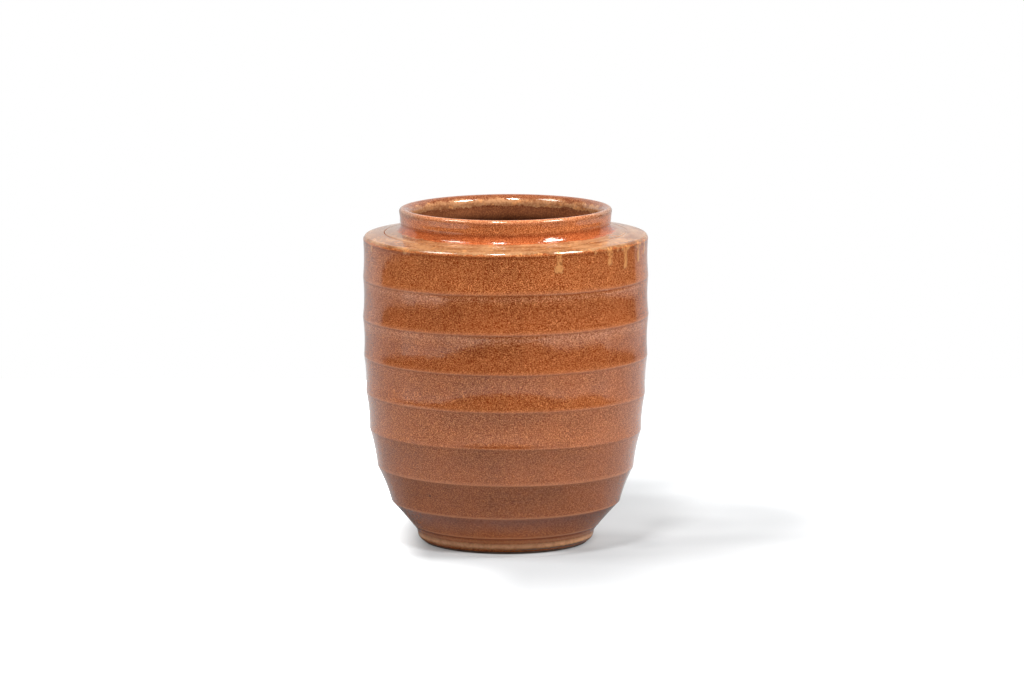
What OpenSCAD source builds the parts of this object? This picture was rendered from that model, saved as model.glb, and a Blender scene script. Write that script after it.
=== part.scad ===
// Glazed stoneware planter. A thrown clay pot stands on a turned foot. Its wall is turned into
// hollow bands that meet in sharp ridges, and a sloping shoulder carries a short collar neck.
// One coat of glaze covers the outside and the lip, a liner glaze covers the inside, and an ochre
// overglaze lies on the shoulder and in the mouth, with runs that came down over the first band.

/* [Wall] */
// Widest diameter, over the glaze
belly_d = 228.6; // [206:0.2:260]
// How far the top of the wall stands in from the widest ridge
top_inset = 0.5; // [0:0.1:4]
// Width of one band, measured along the wall
band_w = 30.3; // [24:0.1:36]
// Depth of the hollow in each band
band_hollow = 0.85; // [0.2:0.05:2]
// Depth of the hollow in the first band, under the shoulder
top_hollow = 0.6; // [0.2:0.05:2]
// Lean of the lowest full band from upright, in degrees
band_lean = 21.3; // [12:0.1:26]
// How many times further each band leans than the band above it
lean_ratio = 1.9; // [1.5:0.05:2.4]
// Thickness of the wall, with its glaze
wall_t = 9; // [6:0.5:12]

/* [Toe and foot] */
// Width of the toe band that runs in to the foot, measured along the wall
toe_w = 30.9; // [24:0.1:36]
// Lean of the toe band from upright, in degrees
toe_lean = 40.8; // [32:0.1:48]
// Depth of the hollow in the toe band
toe_hollow = 0.4; // [0.1:0.1:1]
// Distance of the line scribed round the toe band from the foot
toe_scribe_gap = 5.6; // [4:0.1:9]
// Height of the toe edge above the table
foot_h = 9.5; // [8.5:0.1:14]
// How far the side of the foot draws in below the toe edge
foot_inset = 0.3; // [0.1:0.1:1]
// Radius of the rolled edge round the foot
foot_roll = 4; // [3:0.1:4.5]
// Height of the bare clay below the glaze
bare_h = 1.9; // [1:0.1:2.5]
// How far the standing ring is set in from the widest part of the foot
stand_inset = 5.3; // [4:0.1:9]
// Width of the standing ring
stand_w = 12; // [8:0.5:18]
// Depth of the recess under the base
recess = 4; // [2:0.5:6]
// Thickness of the floor, with its glaze
floor_t = 11; // [8:0.5:15]

/* [Shoulder] */
// Upright height of the shoulder edge, below its round
edge_h = 0.3; // [0.1:0.1:2]
// Radius of the shoulder edge
shoulder_round = 2.5; // [1.5:0.1:5]
// Slope of the shoulder, in degrees
shoulder_slope = 8; // [3:0.5:15]
// Distance of the line scribed round the shoulder from the bottom of the neck
scribe_gap = 10.6; // [5:0.1:20]
// Width of both scribed lines
scribe_w = 1.6; // [1:0.1:2.5]
// Depth of both scribed lines
scribe_depth = 0.4; // [0.1:0.1:0.8]

/* [Neck] */
// Widest diameter of the neck, at the lip, over the glaze
neck_d = 169.8; // [150:0.2:188]
// How far the bottom of the neck stands out from the lip
neck_flare = 1.3; // [0.6:0.1:2]
// Height of the lip above the bottom of the neck
neck_h = 18.3; // [17:0.1:30]
// How far the waist of the neck draws in from the lip
neck_waist = 1.2; // [0.8:0.1:2]
// Radius of the lip's outer round
lip_out = 2.8; // [2:0.1:4]
// Radius of the lip's inner round
lip_in = 7.2; // [5:0.1:9]

/* [Glaze] */
// Thickness of the outer glaze and of the liner
glaze_t = 0.8; // [0.4:0.1:1.2]
// Thickness of the ochre overglaze
over_t = 0.5; // [0.3:0.1:0.8]
// How far the outer glaze comes down inside the mouth, below the lip's inner round
mouth_depth = 2.3; // [1:0.1:5]
// How far the overglaze comes down over the shoulder edge
skirt_h = 0.5; // [0.3:0.1:5]
// Width of a run of overglaze
run_w = 3.4; // [2:0.1:6]
// Diameter of the bead at the end of a run
bead_d = 4.6; // [3:0.1:7]

/* [Hidden] */
$fn = 128;

// Turned by hand, the full bands differ a little in width. The first is under the shoulder.
band_drift = [0, 1.1, 1.4, -0.4, -0.2, 0.3, -0.2];
full_bands = len(band_drift);
toe = full_bands + 1;
belly_ridge = 2;

// Bearing of each run from the front, and its length below the shoulder edge
runs = [[5, 4], [14, 4], [22, 15], [48, 14], [58, 17], [70, 19], [77, 12], [101, 7], [134, 12],
        [168, 5], [197, 14], [229, 8], [262, 17], [291, 6], [317, 4]];

// Points per hollow, and the widest step round an arc in degrees
hollow_steps = 6;
arc_step = 12;

// Height of the neck's waist, of the swell over it and of the hollow under the lip, as shares of
// the neck's height, and how far the last two draw in, as shares of the waist's own draw
waist_at = 0.25;
swell_at = 0.43;
swell_draw = 0.6;
lip_hollow_at = 0.6;
lip_hollow_draw = 0.53;

// Where the lip's outer round starts, in degrees below level
lip_lean = 10;

// Radii of the soft corners between one face and the next
neck_cove = 3;
waist_round = 4;
swell_round = 8;
lip_hollow_round = 16;
throat_round = 5;
inner_shoulder_round = 10;
inner_wall_round = 40;
inner_floor_round = 14;

function unit(v) = v / norm(v);
function left_of(v) = [-v.y, v.x];
function turn(u, v) = atan2(u.x * v.y - u.y * v.x, u * v);
function reversed(list) = [for (i = [len(list) - 1:-1:0]) list[i]];
function arc(centre, r, from, to) =
    let (steps = ceil(abs(to - from) / arc_step))
    [for (i = [0:steps]) let (a = from + (to - from) * i / steps) centre + r * [cos(a), sin(a)]];

// Rounds corner b of the line a, b, c with radius r
function corner(a, b, c, r) =
    let (u = unit(b - a))
    let (sweep = turn(u, unit(c - b)))
    let (start = b - u * r * tan(abs(sweep) / 2))
    let (centre = start + left_of(u) * r * sign(sweep))
    let (from = atan2(start.y - centre.y, start.x - centre.x))
    arc(centre, r, from, from + sweep);

// A line through [point, radius] pairs, each corner rounded by its own radius
function rounded(path) = [
    for (i = [0:len(path) - 1])
        each path[i][1] == 0
            ? [path[i][0]]
            : corner(path[i - 1][0], path[i][0], path[i + 1][0], path[i][1])
];

// The points between a and b, sunk into the clay on the left of the line
function hollow(a, b, depth) = [
    for (i = [1:hollow_steps - 1])
        let (t = i / hollow_steps)
        a + (b - a) * t + left_of(unit(b - a)) * depth * 4 * t * (1 - t)
];

// Direction of a face at point i, and the same face moved into the clay by d
function heading(face, i) =
    let (before = i > 0 ? unit(face[i] - face[i - 1]) : [0, 0])
    let (after = i < len(face) - 1 ? unit(face[i + 1] - face[i]) : [0, 0])
    unit(before + after);
function inset(face, d) = [for (i = [0:len(face) - 1]) face[i] + d * left_of(heading(face, i))];

// Ridges between the bands, counted from the shoulder edge down to the toe edge
function width_of(k) = k < full_bands ? band_w + band_drift[k] : toe_w;
function lean_of(k) = k < full_bands ? band_lean / pow(lean_ratio, full_bands - 1 - k) : toe_lean;
function ridge_r(k) = k <= belly_ridge
    ? belly_d / 2 - top_inset * pow(1 - k / belly_ridge, 2)
    : ridge_r(k - 1) - width_of(k - 1) * sin(lean_of(k - 1));
function ridge_z(k) = k == toe
    ? foot_h
    : ridge_z(k + 1) + sqrt(pow(width_of(k), 2) - pow(ridge_r(k) - ridge_r(k + 1), 2));
function ridge(k) = [ridge_r(k), ridge_z(k)];

// Outer face, from the end of the glaze on the foot up to the shoulder edge
foot_r = ridge_r(toe) - foot_inset;
roll_from = -60;
roll_centre = [foot_r - foot_roll, bare_h - foot_roll * sin(roll_from)];
foot_face = arc(roll_centre, foot_roll, roll_from, 0);
toe_up = unit(ridge(full_bands) - ridge(toe));
toe_scribe = ridge(toe) + toe_up * toe_scribe_gap;
toe_scribe_top = toe_scribe + toe_up * scribe_w / 2;
toe_face = concat(
    [ridge(toe),
     toe_scribe - toe_up * scribe_w / 2,
     toe_scribe + left_of(toe_up) * scribe_depth,
     toe_scribe_top],
    hollow(toe_scribe_top, ridge(full_bands), toe_hollow));
lower_wall_face = [
    for (k = [full_bands:-1:2]) each concat([ridge(k)], hollow(ridge(k), ridge(k - 1), band_hollow))
];
top_band_face = concat([ridge(1)], hollow(ridge(1), ridge(0), top_hollow));

// Shoulder and neck, up to where the lip starts
wall_top_r = ridge_r(0);
edge_z = ridge_z(0) + edge_h + shoulder_round * tan((90 - shoulder_slope) / 2);
function shoulder_z(r) = edge_z + (wall_top_r - r) * tan(shoulder_slope);
function on_shoulder(r, depth = 0) = [r, shoulder_z(r) - depth];
neck_r = neck_d / 2;
neck_foot = on_shoulder(neck_r + neck_flare);
scribe_r = neck_foot.x + scribe_gap;
lip_z = neck_foot.y + neck_h;
lip_top = [neck_r - lip_out, lip_z];
lip_outside = arc(lip_top - [0, lip_out], lip_out, -lip_lean, 90);
function on_neck(share, draw) = [neck_r - neck_waist * draw, neck_foot.y + neck_h * share];
shoulder_face = rounded([
    [ridge(0), 0],
    [[wall_top_r, edge_z], shoulder_round],
    [on_shoulder(scribe_r + scribe_w / 2), 0],
    [on_shoulder(scribe_r, scribe_depth), 0],
    [on_shoulder(scribe_r - scribe_w / 2), 0],
    [on_shoulder(neck_foot.x + neck_cove * 1.3), 0]]);
neck_face = rounded([
    [on_shoulder(neck_foot.x + neck_cove), 0],
    [neck_foot, neck_cove],
    [on_neck(waist_at, 1), waist_round],
    [on_neck(swell_at, swell_draw), swell_round],
    [on_neck(lip_hollow_at, lip_hollow_draw), lip_hollow_round],
    [lip_outside[0], 0]]);

// Lip and mouth, down to the line where the liner starts
bore_r = lip_top.x - lip_in;
mouth_end = [bore_r, lip_z - lip_in - mouth_depth];
crest_to = 138;
inside_centre = lip_top - [0, lip_in];
crest_face = concat(
    [for (i = [1:len(lip_outside) - 1]) lip_outside[i]],
    arc(inside_centre, lip_in, 90 + arc_step, crest_to));
mouth_face = concat(arc(inside_centre, lip_in, crest_to + arc_step, 180), [mouth_end]);
outer_face = concat(
    foot_face, toe_face, lower_wall_face, top_band_face,
    shoulder_face, neck_face, crest_face, mouth_face);

// Inner face, parallel to the wall, from the mouth down to the middle of the floor
function out_of(k) = unit(left_of(unit(ridge(k) - ridge(k - 1)) + unit(ridge(k + 1) - ridge(k))));
function under_shoulder(r) = on_shoulder(r, wall_t / cos(shoulder_slope));
floor_z = recess + floor_t;
toe_way = [-sin(toe_lean), -cos(toe_lean)];
toe_inner = ridge(toe) - left_of(toe_way) * wall_t;
floor_corner = toe_inner + toe_way * (floor_z - toe_inner.y) / toe_way.y;
liner_face = rounded(concat(
    [[mouth_end, 0],
     [under_shoulder(bore_r), throat_round],
     [under_shoulder(wall_top_r - wall_t), inner_shoulder_round]],
    [for (k = [1:full_bands]) [ridge(k) - out_of(k) * wall_t, inner_wall_round]],
    [[floor_corner, inner_floor_round], [[0, floor_z], 0]]));

// Bare clay under the foot, from the middle of the recess out to the end of the glaze
stand_r = foot_r - stand_inset;
under_face = [[0, recess], [stand_r - stand_w - recess / 2, recess], [stand_r - stand_w, 0], [stand_r, 0]];

// A coat that reaches from over the face to under it, spun round the pot
module coat(face, over, under) {
    rotate_extrude()
        polygon(concat(inset(face, -over), reversed(inset(face, under))));
}

// Outline of one run, as seen from straight in front of it
module run_outline(length) {
    end_z = ridge_z(0) - length;
    translate([-run_w / 2, end_z + bead_d / 2])
        square([run_w, length]);
    translate([0, end_z + bead_d / 2])
        circle(d = bead_d);
}

module stoneware_body() {
    clay_outside = inset(outer_face, glaze_t);
    clay_inside = inset(liner_face, glaze_t);
    color("sienna")
        rotate_extrude()
            polygon(concat(under_face, clay_outside, [for (i = [1:len(clay_inside) - 1]) clay_inside[i]]));
}

module outer_glaze() {
    color("chocolate")
        coat(outer_face, 0, glaze_t);
}

module liner_glaze() {
    color("saddlebrown")
        coat(liner_face, 0, glaze_t);
}

module shoulder_overglaze() {
    color("sandybrown")
        intersection() {
            coat(concat(top_band_face, shoulder_face), over_t, 0);
            union() {
                translate([0, 0, ridge_z(0) - skirt_h])
                    cylinder(h = skirt_h + lip_z, d = belly_d + 4 * over_t);
                for (run = runs)
                    rotate([90, 0, run[0]])
                        linear_extrude(height = belly_d / 2 + 2 * over_t)
                            run_outline(run[1]);
            }
        }
}

module mouth_overglaze() {
    color("peru")
        coat(mouth_face, over_t, 0);
}

stoneware_body();
outer_glaze();
liner_glaze();
shoulder_overglaze();
mouth_overglaze();
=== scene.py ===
import math

import bpy
import numpy as np
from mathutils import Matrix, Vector


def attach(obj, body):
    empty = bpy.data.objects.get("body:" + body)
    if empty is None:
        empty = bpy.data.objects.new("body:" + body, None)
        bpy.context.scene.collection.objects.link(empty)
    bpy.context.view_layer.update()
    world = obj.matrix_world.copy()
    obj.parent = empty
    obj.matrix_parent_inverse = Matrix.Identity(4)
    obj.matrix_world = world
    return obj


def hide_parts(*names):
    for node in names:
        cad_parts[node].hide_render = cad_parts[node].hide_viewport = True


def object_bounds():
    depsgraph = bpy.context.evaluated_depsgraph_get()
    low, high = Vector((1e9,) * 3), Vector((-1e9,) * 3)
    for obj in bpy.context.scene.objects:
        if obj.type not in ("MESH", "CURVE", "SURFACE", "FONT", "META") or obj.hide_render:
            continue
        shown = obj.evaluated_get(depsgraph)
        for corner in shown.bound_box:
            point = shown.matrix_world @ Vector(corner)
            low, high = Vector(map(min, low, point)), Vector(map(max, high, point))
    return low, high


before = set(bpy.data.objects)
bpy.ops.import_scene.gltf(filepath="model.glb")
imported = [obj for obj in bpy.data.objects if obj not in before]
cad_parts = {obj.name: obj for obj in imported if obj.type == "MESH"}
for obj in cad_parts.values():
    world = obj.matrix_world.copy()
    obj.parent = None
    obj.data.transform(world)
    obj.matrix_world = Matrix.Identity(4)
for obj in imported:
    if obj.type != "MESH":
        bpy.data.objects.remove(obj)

cad_low, cad_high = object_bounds()

# Outlines are drawn in millimetres, as [radius, height], and MM turns them into the frame's metres
MM = 0.001
BELLY_R = cad_high.x / MM
LIP_Z = cad_high.z / MM
SEED = 7

# Wall of hollow bands, counted from the shoulder edge down to the toe
BAND_W = 30.3
BAND_DRIFT = (0, 1.1, 1.4, -0.4, -0.2, 0.3, -0.2)
BAND_HOLLOW = 0.85
TOP_HOLLOW = 0.6
BAND_LEAN = 21.3
LEAN_RATIO = 1.9
FULL_BANDS = len(BAND_DRIFT)
TOP_INSET = 0.5
BELLY_RIDGE = 2
WALL_T = 9

# Toe and foot
TOE = FULL_BANDS + 1
TOE_W = 30.9
TOE_LEAN = 40.8
TOE_HOLLOW = 0.4
TOE_SCRIBE_GAP = 4.2
TOE_BEAD = 0.1
FOOT_H = 9.5
FOOT_INSET = 0.9
FOOT_ROLL = 5
ROLL_FROM = -60
BARE_H = 1.9
FLOOR_Z = 15

# Shoulder, neck and lip
EDGE_H = 0.3
SHOULDER_ROUND = 2.5
EDGE_BENDS = ((0.8, 29), (8, 18), (1.0, 35))
SHOULDER_SLOPE = math.tan(math.radians(8))
SCRIBE_GAP = 10.6
SCRIBE_W = 1.6
SCRIBE_DEPTH = 0.4
NECK_R = 84.9
NECK_FLARE = 1.3
NECK_COVE = 2.3
WAIST_RISE = 4.6
WAIST_IN = 1.2
WAIST_ROUND = 4
SWELL_DROP = 10.4
SWELL_IN = 0.72
SWELL_ROUND = 8
UNDER_LIP_DROP = 7.4
UNDER_LIP_IN = 0.64
UNDER_LIP_ROUND = 16
LIP_LEAN = 10
LIP_OUT = 2.8
LIP_IN = 7.2
MOUTH_DEPTH = 9.5
THROAT_ROUND = 5
INNER_SHOULDER_ROUND = 10
INNER_WALL_ROUND = 40
INNER_FLOOR_ROUND = 14

# Coats of glaze, the fine groove under each ridge, and the softness that melted glaze gives every edge
GLAZE_T = 0.8
GROOVE_W = 0.65
GROOVE_DROP = 0.9
GROOVES = (0.04, 0.1, 0.1, 0.09, 0.05, 0.02, 0.02, 0.02)
EDGE_SOFTNESS = 0.28
UNDERSIDE_SOFTNESS = 2.5

# How finely the pot is drawn: the step along an outline, the points of a band, the points to each side over
# which a bend is averaged, and the segments round the axis
OUTLINE_STEP = 0.05
BAND_POINTS = 600
BEND_REACH = 6
SEGMENTS = 288

# Runs of overglaze, each of two strands: bearing from the front, length below the shoulder edge, girth,
# and how far the strands part again at the end
RUNS = (
    (5, 0.8, 4.5, 0.5), (13.8, 0.8, 5, 0.5), (21.5, 15.5, 5.6, 2.6), (32.5, 0.5, 5, 0.5),
    (46.3, 13, 5.6, 0.8), (56.4, 17, 6.0, 0.9), (67.8, 15, 6.4, 0.8), (76, 11, 5.0, 0.5),
    (101, 7, 4.0, 0.6), (134, 12, 5.0, 1.4), (168, 5, 4.0, 0.5), (197, 14, 5.2, 2.0),
    (229, 8, 4.0, 0.5), (262, 17, 5.0, 0.8), (291, 6, 4.0, 0.5), (317, 0.8, 5, 0.5))

# Where the overglaze hangs over the shoulder edge: bearing, how far to each side, how heavy
FRINGES = ((58, 24, 0.6), (14, 9, 0.3), (110, 20, 0.5), (200, 30, 0.7), (318, 5, 0.6))


# Drawing of outlines

def unit(v):
    v = np.asarray(v, float)
    return v / np.linalg.norm(v)


def left_of(v):
    return np.array([-v[1], v[0]])


def arc(centre, radius, start, end, count=24):
    a = np.radians(np.linspace(start, end, count))
    return np.asarray(centre) + radius * np.stack([np.cos(a), np.sin(a)], 1)


def corner(before, at, after, radius):
    """The arc that rounds the corner of a line by a radius."""
    u, v = unit(at - before), unit(after - at)
    sweep = math.degrees(math.atan2(u[0] * v[1] - u[1] * v[0], u @ v))
    start = at - u * radius * math.tan(math.radians(abs(sweep)) / 2)
    centre = start + left_of(u) * radius * np.sign(sweep)
    first = math.degrees(math.atan2(*(start - centre)[::-1]))
    return arc(centre, radius, first, first + sweep)


def rounded(path):
    """A line through (point, radius) pairs, each corner rounded by its own radius."""
    points = [np.asarray(p, float) for p, _ in path]
    rows = []
    for i, (_, radius) in enumerate(path):
        rows.append(corner(*points[i - 1:i + 2], radius) if radius else points[i][None])
    return np.vstack(rows)


def bent(start, way, bends):
    """A line that sets out in a way given in degrees and bends to the left, by (radius, degrees) pairs."""
    line = np.asarray(start, float)[None]
    for radius, sweep in bends:
        aside = math.radians(way + 90)
        centre = line[-1] + radius * np.array([math.cos(aside), math.sin(aside)])
        line = np.vstack([line, arc(centre, radius, way - 90, way - 90 + sweep)[1:]])
        way += sweep
    return line


def lengths_along(line):
    return np.concatenate([[0], np.cumsum(np.linalg.norm(np.diff(line, axis=0), axis=1))])


def even(line, step=OUTLINE_STEP):
    along = lengths_along(line)
    at = np.linspace(0, along[-1], max(2, round(along[-1] / step)))
    return np.stack([np.interp(at, along, line[:, i]) for i in (0, 1)], 1)


def softened(line, sigma):
    """The line with its corners melted, its two ends kept."""
    line = even(line)
    reach = round(4 * sigma / OUTLINE_STEP)
    weights = np.exp(-0.5 * (np.arange(-reach, reach + 1) * OUTLINE_STEP / sigma) ** 2)
    ends = [2 * line[0] - line[reach:0:-1], line, 2 * line[-1] - line[-2:-reach - 2:-1]]
    padded = np.vstack(ends)
    return np.stack([np.convolve(padded[:, i], weights / weights.sum(), "valid") for i in (0, 1)], 1)


def normals_of(line):
    """Unit vectors that point out of the clay, which lies on the left of the line."""
    way = np.gradient(line, axis=0)
    way /= np.linalg.norm(way, axis=1)[:, None]
    return np.stack([way[:, 1], -way[:, 0]], 1)


def chosen_rows(line, sag, widest):
    """Rows of the line, close together where it bends and wide apart where it is straight."""
    way = np.unwrap(np.arctan2(*np.gradient(line, axis=0).T[::-1]))
    bend = np.abs(np.gradient(way)) / OUTLINE_STEP
    window = np.ones(2 * BEND_REACH + 1)
    bend = np.convolve(np.pad(bend, BEND_REACH, "edge"), window / len(window), "valid")
    spacing = np.minimum(np.sqrt(8 * sag / np.maximum(bend, 1e-6)), widest)
    count = np.cumsum(OUTLINE_STEP / spacing)
    at = np.linspace(count[0], count[-1], math.ceil(count[-1]))
    return np.unique(np.round(np.interp(at, count, np.arange(len(line)))).astype(int))


# The pot's own outlines

def ridge_points():
    """[radius, height] of every ridge, from the shoulder edge down to the toe."""
    widths = [BAND_W + drift for drift in BAND_DRIFT] + [TOE_W]
    leans = [BAND_LEAN / LEAN_RATIO ** (FULL_BANDS - 1 - k) for k in range(FULL_BANDS)] + [TOE_LEAN]
    radii = [BELLY_R - TOP_INSET * (1 - k / BELLY_RIDGE) ** 2 for k in range(BELLY_RIDGE + 1)]
    for k in range(BELLY_RIDGE, TOE):
        radii.append(radii[k] - widths[k] * math.sin(math.radians(leans[k])))
    heights = [FOOT_H]
    for k in range(TOE - 1, -1, -1):
        heights.insert(0, heights[0] + math.sqrt(widths[k] ** 2 - (radii[k] - radii[k + 1]) ** 2))
    return [np.array(p) for p in zip(radii, heights)]


RIDGES = ridge_points()
WALL_TOP_R = RIDGES[0][0]
EDGE_Z = RIDGES[0][1] + EDGE_H + SHOULDER_ROUND * math.tan((math.pi / 2 - math.atan(SHOULDER_SLOPE)) / 2)
LIP_TOP = np.array([NECK_R - LIP_OUT, LIP_Z])
BORE_R = LIP_TOP[0] - LIP_IN
MOUTH_END = np.array([BORE_R, LIP_Z - MOUTH_DEPTH])


def on_shoulder(r, depth=0.0):
    return np.array([r, EDGE_Z + (WALL_TOP_R - r) * SHOULDER_SLOPE - depth])


NECK_FOOT = on_shoulder(NECK_R + NECK_FLARE)
SCRIBE_R = NECK_FOOT[0] + SCRIBE_GAP
LIP_OUTSIDE = arc(LIP_TOP - [0, LIP_OUT], LIP_OUT, -LIP_LEAN, 90)


def bump_at(where, centre, reach):
    return np.exp(-((where - centre) / reach) ** 2)


def ramp(where, start, end):
    """Nothing at the start and one at the end, which may lie on either side of the start."""
    return np.clip((where - start) / (end - start), 0, 1)


def band(k):
    """One hollow band from its lower ridge to its upper one, with the groove under the upper one. A line
    is scribed round the toe band, and the glaze stands up a little over it."""
    low, high = RIDGES[k], RIDGES[k - 1]
    t = np.linspace(0, 1, BAND_POINTS)[:, None]
    width = np.linalg.norm(high - low)
    below = (1 - t) * width
    hollow = TOE_HOLLOW if k == TOE else TOP_HOLLOW if k == 1 else BAND_HOLLOW
    sunk = hollow * 4 * t * (1 - t) + GROOVES[k - 1] * bump_at(below, GROOVE_DROP, GROOVE_W)
    if k == TOE:
        sunk += SCRIBE_DEPTH * bump_at(t * width, TOE_SCRIBE_GAP, SCRIBE_W / 2)
        sunk -= TOE_BEAD * bump_at(t * width, TOE_SCRIBE_GAP + SCRIBE_W, SCRIBE_W / 2)
    return low + (high - low) * t + left_of(unit(high - low)) * sunk


def outer_line():
    """The outside of the pot, from the end of the glaze on the foot to its end in the mouth."""
    foot_r = RIDGES[TOE][0] - FOOT_INSET
    roll_centre = np.array([foot_r - FOOT_ROLL, BARE_H - FOOT_ROLL * math.sin(math.radians(ROLL_FROM))])
    parts = [arc(roll_centre, FOOT_ROLL, ROLL_FROM, 0)]
    parts += [band(k) for k in range(TOE, 0, -1)]
    edge = bent(RIDGES[0], 90, EDGE_BENDS)
    edge[:, 1] += on_shoulder(edge[-1, 0])[1] - edge[-1, 1]
    parts.append(edge)
    parts.append(rounded([
        (on_shoulder(SCRIBE_R + SCRIBE_W / 2), 0),
        (on_shoulder(SCRIBE_R, SCRIBE_DEPTH), 0),
        (on_shoulder(SCRIBE_R - SCRIBE_W / 2), 0),
        (NECK_FOOT, NECK_COVE),
        ([NECK_R - WAIST_IN, NECK_FOOT[1] + WAIST_RISE], WAIST_ROUND),
        ([NECK_R - SWELL_IN, LIP_Z - SWELL_DROP], SWELL_ROUND),
        ([NECK_R - UNDER_LIP_IN, LIP_Z - UNDER_LIP_DROP], UNDER_LIP_ROUND),
        (LIP_OUTSIDE[0], 0)]))
    parts.append(LIP_OUTSIDE[1:])
    parts.append(arc(LIP_TOP - [0, LIP_IN], LIP_IN, 90, 180, 48)[1:])
    parts.append([MOUTH_END])
    return softened(np.vstack(parts), EDGE_SOFTNESS)


def inner_line():
    """The inside of the pot, from the mouth down to the middle of the floor."""
    def under_shoulder(r):
        return on_shoulder(r, WALL_T * math.hypot(1, SHOULDER_SLOPE))

    path = [(MOUTH_END, 0), (under_shoulder(BORE_R), THROAT_ROUND),
            (under_shoulder(WALL_TOP_R - WALL_T), INNER_SHOULDER_ROUND)]
    for k in range(1, FULL_BANDS + 1):
        way = unit(RIDGES[k] - RIDGES[k - 1]) + unit(RIDGES[k + 1] - RIDGES[k])
        path.append((RIDGES[k] - unit(left_of(way)) * WALL_T, INNER_WALL_ROUND))
    toe_way = -np.array([math.sin(math.radians(TOE_LEAN)), math.cos(math.radians(TOE_LEAN))])
    toe_inner = RIDGES[TOE] - left_of(toe_way) * WALL_T
    path.append((toe_inner + toe_way * (FLOOR_Z - toe_inner[1]) / toe_way[1], INNER_FLOOR_ROUND))
    path.append(([0, FLOOR_Z], 0))
    return softened(rounded(path), EDGE_SOFTNESS)


OUTER = outer_line()
OUTER_ALONG = lengths_along(OUTER)


def along_at(point):
    """Length along the outer line at the place nearest to a point."""
    return OUTER_ALONG[np.argmin(np.linalg.norm(OUTER - point, axis=1))]


CRESTS_ALONG = np.array([along_at(p) for p in RIDGES])
EDGE_ALONG = CRESTS_ALONG[0]
TOE_ALONG = CRESTS_ALONG[TOE]
TOE_SCRIBE_ALONG = TOE_ALONG + TOE_SCRIBE_GAP
SCRIBE_ALONG = along_at(on_shoulder(SCRIBE_R, SCRIBE_DEPTH))
NECK_FOOT_ALONG = along_at(NECK_FOOT)
LIP_START_ALONG = along_at(LIP_OUTSIDE[0])
LIP_TOP_ALONG = along_at(LIP_TOP)

# How thin the glaze is on each ridge, where a painted highlight adds to it, how dark it has pooled under it,
# with painted shade there, and how much darker the second to fourth bands are made
THINNED_AND_LIT = (0, 0.55, 0.55, 0.5, 0.45, 0.2, 0.65, 0.8)
POOLED_AND_SHADED = (0.9, 0.7, 0.75, 0.7, 0.45, 0.35, 0.4, 0.3)
DARKENED_BANDS = (1, 1, 0.5)


# What a potter's hand leaves: nothing is quite round or quite level

# Lobes round the pot, depth, phase, and turns from the foot to the lip
OUT_OF_ROUND = ((2, 0.22, 0.9, 1.1), (3, 0.13, 2.1, -1.6), (5, 0.07, 4.0, 2.3), (8, 0.04, 0.4, 3.0))
RING_WAVE = 0.12
RING_LOBES = 3
RING_TWIST = 14
LEVEL_FOOT = 25

# Height of a ring, and how far it rises to the right for each millimetre across
RING_TILTS = ((20, 0), (61, -0.0045), (91, -0.0045), (125, -0.003), (150, 0.002), (182, 0.0105),
              (214, 0.0071), (244, 0.0052), (262, 0.0039))


def thrown(points):
    """Moves points, in metres, as far out of round and out of level as the pot was thrown."""
    x, y, z = (points / MM).T
    bearing = np.arctan2(x, -y)
    height = z / LIP_Z
    grow = sum(depth * np.cos(lobes * bearing + phase + twist * height * math.tau)
               for lobes, depth, phase, twist in OUT_OF_ROUND)
    free = np.clip(z / LEVEL_FOOT, 0, 1)
    wave = RING_WAVE * np.sin(RING_LOBES * bearing - RING_TWIST * height)
    lift = x * np.interp(z, *zip(*RING_TILTS)) + wave
    radius = np.maximum(np.hypot(x, y), 1e-9)
    share = np.clip(radius / NECK_R, 0, 1)
    scale = 1 + grow * share * free / radius
    return np.stack([x * scale, y * scale, z + lift * share * free], 1) * MM


def into_scene(name, data):
    made = bpy.data.objects.new(name, data)
    bpy.context.scene.collection.objects.link(made)
    return made


def finished(name, mesh, slot, *nodes):
    """Puts a finished mesh into the scene in place of the CAD nodes that it stands for."""
    place = np.empty(len(mesh.vertices) * 3, np.float32)
    mesh.vertices.foreach_get("co", place)
    mesh.vertices.foreach_set("co", thrown(place.reshape(-1, 3)).astype(np.float32).ravel())
    mesh.update()
    piece = into_scene(name, mesh)
    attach(piece, "root")
    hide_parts(*nodes)
    return piece


# Small helpers for node trees

def node(tree, kind, inputs=(), **settings):
    """Adds a node. An input is a plain value, or a socket that is linked to it."""
    made = tree.nodes.new(kind)
    for name, value in settings.items():
        setattr(made, name, value)
    for key, value in dict(inputs).items():
        if isinstance(value, bpy.types.NodeSocket):
            tree.links.new(value, made.inputs[key])
        else:
            made.inputs[key].default_value = value
    return made


def group_with(name, kind, inputs, outputs):
    """An empty node group with named sockets, and its two end nodes."""
    tree = bpy.data.node_groups.new(name, kind)
    for side, sockets in (("INPUT", inputs), ("OUTPUT", outputs)):
        for label, socket_kind, *default in sockets:
            socket = tree.interface.new_socket(label, in_out=side, socket_type="NodeSocket" + socket_kind)
            if default:
                socket.default_value = default[0]
    return tree, tree.nodes.new("NodeGroupInput").outputs, tree.nodes.new("NodeGroupOutput").inputs


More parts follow.
